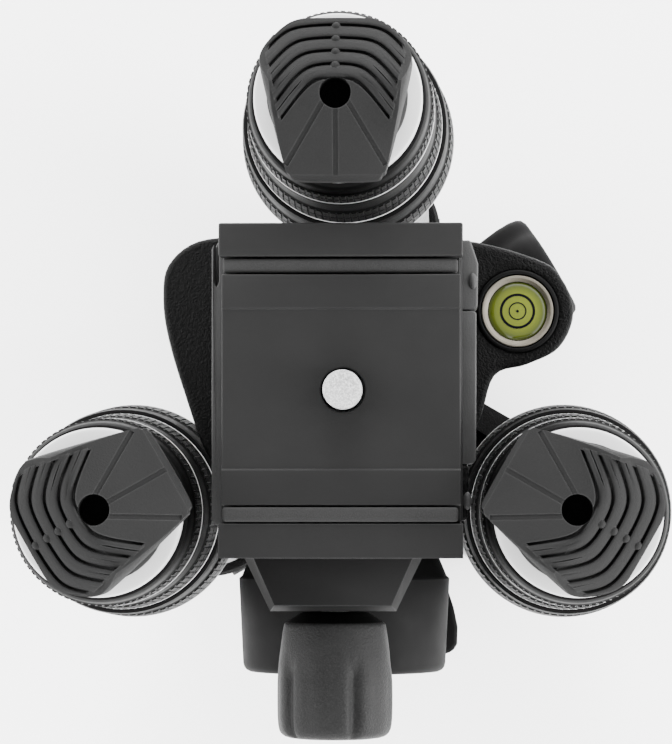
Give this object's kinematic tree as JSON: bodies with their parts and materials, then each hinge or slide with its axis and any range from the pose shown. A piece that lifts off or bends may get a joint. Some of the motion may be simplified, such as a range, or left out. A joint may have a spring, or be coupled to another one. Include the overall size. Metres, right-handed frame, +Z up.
{
  "type": "travel tripod with quick release adapter",
  "caption": "Folded travel tripod: three telescopic legs turned up round a ball head whose dovetail clamp holds a camera plate beside a bubble level.",
  "frame": {"origin": "on the tripod's axis, at the flat end of the column's cap, which is level with the leg shoulders that it stands on when folded", "axes": "+Z up along the column, towards the camera plate; +Y towards leg a; the clamp's knob points along -Y"},
  "size_m": [0.1184, 0.1247, 0.38],
  "materials": {
    "cast_black": "pebbled black paint on a casting",
    "anodised_grey": "dark grey anodised, bead blasted",
    "tube_black": "satin black tube",
    "foot_rubber": "dark grey moulded rubber",
    "pad_cork": "grainy dark rubber strip",
    "collar_grip": "matt grip with a knurled band",
    "bright_metal": "bright turned metal",
    "steel": "plain steel",
    "knob_grey": "grey satin, sandy on the small knobs",
    "vial_green": "green level fluid behind a clear cap",
    "bezel_cream": "cream bezel"
  },
  "bodies": {
    "spider": {"spider": "cast_black", "leg_a_hinge_pin": "steel", "leg_b_hinge_pin": "steel", "leg_c_hinge_pin": "steel"},
    "column": {"column_tube": "tube_black", "column_cap": "cast_black", "column_plate": "cast_black", "pan_base": "cast_black"},
    "column_lock": {"column_collar": "collar_grip"},
    "head_housing": {"ball_housing": "cast_black"},
    "ball_lock": {"lock_knob": "knob_grey", "lock_bolt": "steel"},
    "pan_lock": {"pan_knob": "knob_grey", "pan_bolt": "steel"},
    "head_top": {"ball": "bright_metal", "ball_stem": "anodised_grey", "level_platform": "cast_black", "level_bezel": "bezel_cream", "level_vial": "vial_green", "clamp_base": "anodised_grey"},
    "moving_jaw": {"clamp_jaw": "anodised_grey"},
    "clamp_screw": {"clamp_knob": "knob_grey", "clamp_bolt": "steel"},
    "plate": {"camera_plate": "anodised_grey", "plate_pad_rear": "pad_cork", "plate_pad_front": "pad_cork"},
    "mount_screw": {"camera_screw": "steel"},
    "leg_a_upper": {"leg_a_yoke": "cast_black", "leg_a_upper_tube": "tube_black"},
    "leg_a_latch": {"leg_a_angle_latch": "knob_grey"},
    "leg_a_lock_3": {"leg_a_collar_3": "collar_grip"},
    "leg_a_second": {"leg_a_second_tube": "tube_black"},
    "leg_a_lock_2": {"leg_a_collar_2": "collar_grip"},
    "leg_a_third": {"leg_a_third_tube": "tube_black"},
    "leg_a_lock_1": {"leg_a_collar_1": "collar_grip"},
    "leg_a_fourth": {"leg_a_fourth_tube": "tube_black", "leg_a_foot_ring": "bright_metal", "leg_a_foot": "foot_rubber"},
    "leg_b_upper": {"leg_b_yoke": "cast_black", "leg_b_upper_tube": "tube_black"},
    "leg_b_latch": {"leg_b_angle_latch": "knob_grey"},
    "leg_b_lock_3": {"leg_b_collar_3": "collar_grip"},
    "leg_b_second": {"leg_b_second_tube": "tube_black"},
    "leg_b_lock_2": {"leg_b_collar_2": "collar_grip"},
    "leg_b_third": {"leg_b_third_tube": "tube_black"},
    "leg_b_lock_1": {"leg_b_collar_1": "collar_grip"},
    "leg_b_fourth": {"leg_b_fourth_tube": "tube_black", "leg_b_foot_ring": "bright_metal", "leg_b_foot": "foot_rubber"},
    "leg_c_upper": {"leg_c_yoke": "cast_black", "leg_c_upper_tube": "tube_black"},
    "leg_c_latch": {"leg_c_angle_latch": "knob_grey"},
    "leg_c_lock_3": {"leg_c_collar_3": "collar_grip"},
    "leg_c_second": {"leg_c_second_tube": "tube_black"},
    "leg_c_lock_2": {"leg_c_collar_2": "collar_grip"},
    "leg_c_third": {"leg_c_third_tube": "tube_black"},
    "leg_c_lock_1": {"leg_c_collar_1": "collar_grip"},
    "leg_c_fourth": {"leg_c_fourth_tube": "tube_black", "leg_c_foot_ring": "bright_metal", "leg_c_foot": "foot_rubber"}
  },
  "joints": [
    {"name": "column_slide", "type": "slide", "parent": "spider", "child": "column", "axis": [0, 0, 1], "range_m": [-0.19, 0]},
    {"name": "column_lock_twist", "type": "hinge", "parent": "spider", "child": "column_lock", "pos_m": [0, 0, 0.0504], "axis": [0, 0, 1], "range_deg": [0, 90]},
    {"name": "pan", "type": "hinge", "parent": "column", "child": "head_housing", "pos_m": [0, 0, 0.275], "axis": [0, 0, 1], "range_deg": [-4, 4]},
    {"name": "ball_lock_turn", "type": "hinge", "parent": "head_housing", "child": "ball_lock", "pos_m": [-0.0005, -0.034, 0.2992], "axis": [0, -1, 0], "range_deg": [0, 270]},
    {"name": "pan_lock_turn", "type": "hinge", "parent": "head_housing", "child": "pan_lock", "pos_m": [0.02529, 0.01519, 0.2835], "axis": [0.8572, 0.515, 0], "range_deg": [0, 360]},
    {"name": "ball_tilt", "type": "hinge", "parent": "head_housing", "child": "head_top", "pos_m": [0, 0, 0.3052], "axis": [1, 0, 0], "range_deg": [-4, 10]},
    {"name": "clamp_screw_turn", "type": "hinge", "parent": "moving_jaw", "child": "clamp_screw", "pos_m": [-0.0009, -0.0392, 0.3467], "axis": [0, -1, 0], "range_deg": [0, 1440]},
    {"name": "jaw_slide", "type": "slide", "parent": "head_top", "child": "moving_jaw", "axis": [0, -1, 0], "range_m": [0, 0.004]},
    {"name": "plate_slide", "type": "slide", "parent": "head_top", "child": "plate", "axis": [1, 0, 0], "range_m": [-0.004, 0.004]},
    {"name": "mount_screw_turn", "type": "hinge", "parent": "plate", "child": "mount_screw", "pos_m": [0.0008, -0.0026, 0.3528], "axis": [0, 0, 1], "continuous": true},
    {"name": "leg_a_swing", "type": "hinge", "parent": "spider", "child": "leg_a_upper", "pos_m": [0, 0.038, 0.016], "axis": [-1, 0, 0], "range_deg": [0, 156]},
    {"name": "leg_a_latch_slide", "type": "slide", "parent": "leg_a_upper", "child": "leg_a_latch", "axis": [0, 0, 1], "range_m": [0, 0.004], "stiffness_N_per_m": 200},
    {"name": "leg_a_lock_3_twist", "type": "hinge", "parent": "leg_a_upper", "child": "leg_a_lock_3", "pos_m": [0, 0.045, 0.3], "axis": [0, 0, 1], "range_deg": [0, 90]},
    {"name": "leg_a_second_slide", "type": "slide", "parent": "leg_a_upper", "child": "leg_a_second", "axis": [0, 0, 1], "range_m": [0, 0.225]},
    {"name": "leg_a_lock_2_twist", "type": "hinge", "parent": "leg_a_second", "child": "leg_a_lock_2", "pos_m": [0, 0.045, 0.33], "axis": [0, 0, 1], "range_deg": [0, 90]},
    {"name": "leg_a_third_slide", "type": "slide", "parent": "leg_a_second", "child": "leg_a_third", "axis": [0, 0, 1], "range_m": [0, 0.225]},
    {"name": "leg_a_lock_1_twist", "type": "hinge", "parent": "leg_a_third", "child": "leg_a_lock_1", "pos_m": [0, 0.045, 0.35], "axis": [0, 0, 1], "range_deg": [0, 90]},
    {"name": "leg_a_fourth_slide", "type": "slide", "parent": "leg_a_third", "child": "leg_a_fourth", "axis": [0, 0, 1], "range_m": [0, 0.225]},
    {"name": "leg_b_swing", "type": "hinge", "parent": "spider", "child": "leg_b_upper", "pos_m": [-0.03291, -0.019, 0.016], "axis": [0.5, -0.866, 0], "range_deg": [0, 156]},
    {"name": "leg_b_latch_slide", "type": "slide", "parent": "leg_b_upper", "child": "leg_b_latch", "axis": [0, 0, 1], "range_m": [0, 0.004], "stiffness_N_per_m": 200},
    {"name": "leg_b_lock_3_twist", "type": "hinge", "parent": "leg_b_upper", "child": "leg_b_lock_3", "pos_m": [-0.03897, -0.0225, 0.3], "axis": [0, 0, 1], "range_deg": [0, 90]},
    {"name": "leg_b_second_slide", "type": "slide", "parent": "leg_b_upper", "child": "leg_b_second", "axis": [0, 0, 1], "range_m": [0, 0.225]},
    {"name": "leg_b_lock_2_twist", "type": "hinge", "parent": "leg_b_second", "child": "leg_b_lock_2", "pos_m": [-0.03897, -0.0225, 0.33], "axis": [0, 0, 1], "range_deg": [0, 90]},
    {"name": "leg_b_third_slide", "type": "slide", "parent": "leg_b_second", "child": "leg_b_third", "axis": [0, 0, 1], "range_m": [0, 0.225]},
    {"name": "leg_b_lock_1_twist", "type": "hinge", "parent": "leg_b_third", "child": "leg_b_lock_1", "pos_m": [-0.03897, -0.0225, 0.35], "axis": [0, 0, 1], "range_deg": [0, 90]},
    {"name": "leg_b_fourth_slide", "type": "slide", "parent": "leg_b_third", "child": "leg_b_fourth", "axis": [0, 0, 1], "range_m": [0, 0.225]},
    {"name": "leg_c_swing", "type": "hinge", "parent": "spider", "child": "leg_c_upper", "pos_m": [0.03291, -0.019, 0.016], "axis": [0.5, 0.866, 0], "range_deg": [0, 156]},
    {"name": "leg_c_latch_slide", "type": "slide", "parent": "leg_c_upper", "child": "leg_c_latch", "axis": [0, 0, 1], "range_m": [0, 0.004], "stiffness_N_per_m": 200},
    {"name": "leg_c_lock_3_twist", "type": "hinge", "parent": "leg_c_upper", "child": "leg_c_lock_3", "pos_m": [0.03897, -0.0225, 0.3], "axis": [0, 0, 1], "range_deg": [0, 90]},
    {"name": "leg_c_second_slide", "type": "slide", "parent": "leg_c_upper", "child": "leg_c_second", "axis": [0, 0, 1], "range_m": [0, 0.225]},
    {"name": "leg_c_lock_2_twist", "type": "hinge", "parent": "leg_c_second", "child": "leg_c_lock_2", "pos_m": [0.03897, -0.0225, 0.33], "axis": [0, 0, 1], "range_deg": [0, 90]},
    {"name": "leg_c_third_slide", "type": "slide", "parent": "leg_c_second", "child": "leg_c_third", "axis": [0, 0, 1], "range_m": [0, 0.225]},
    {"name": "leg_c_lock_1_twist", "type": "hinge", "parent": "leg_c_third", "child": "leg_c_lock_1", "pos_m": [0.03897, -0.0225, 0.35], "axis": [0, 0, 1], "range_deg": [0, 90]},
    {"name": "leg_c_fourth_slide", "type": "slide", "parent": "leg_c_third", "child": "leg_c_fourth", "axis": [0, 0, 1], "range_m": [0, 0.225]}
  ],
  "couplings": [
    {"joint": "clamp_screw_turn", "follows": "jaw_slide", "rad_per_m": 6283.2}
  ]
}
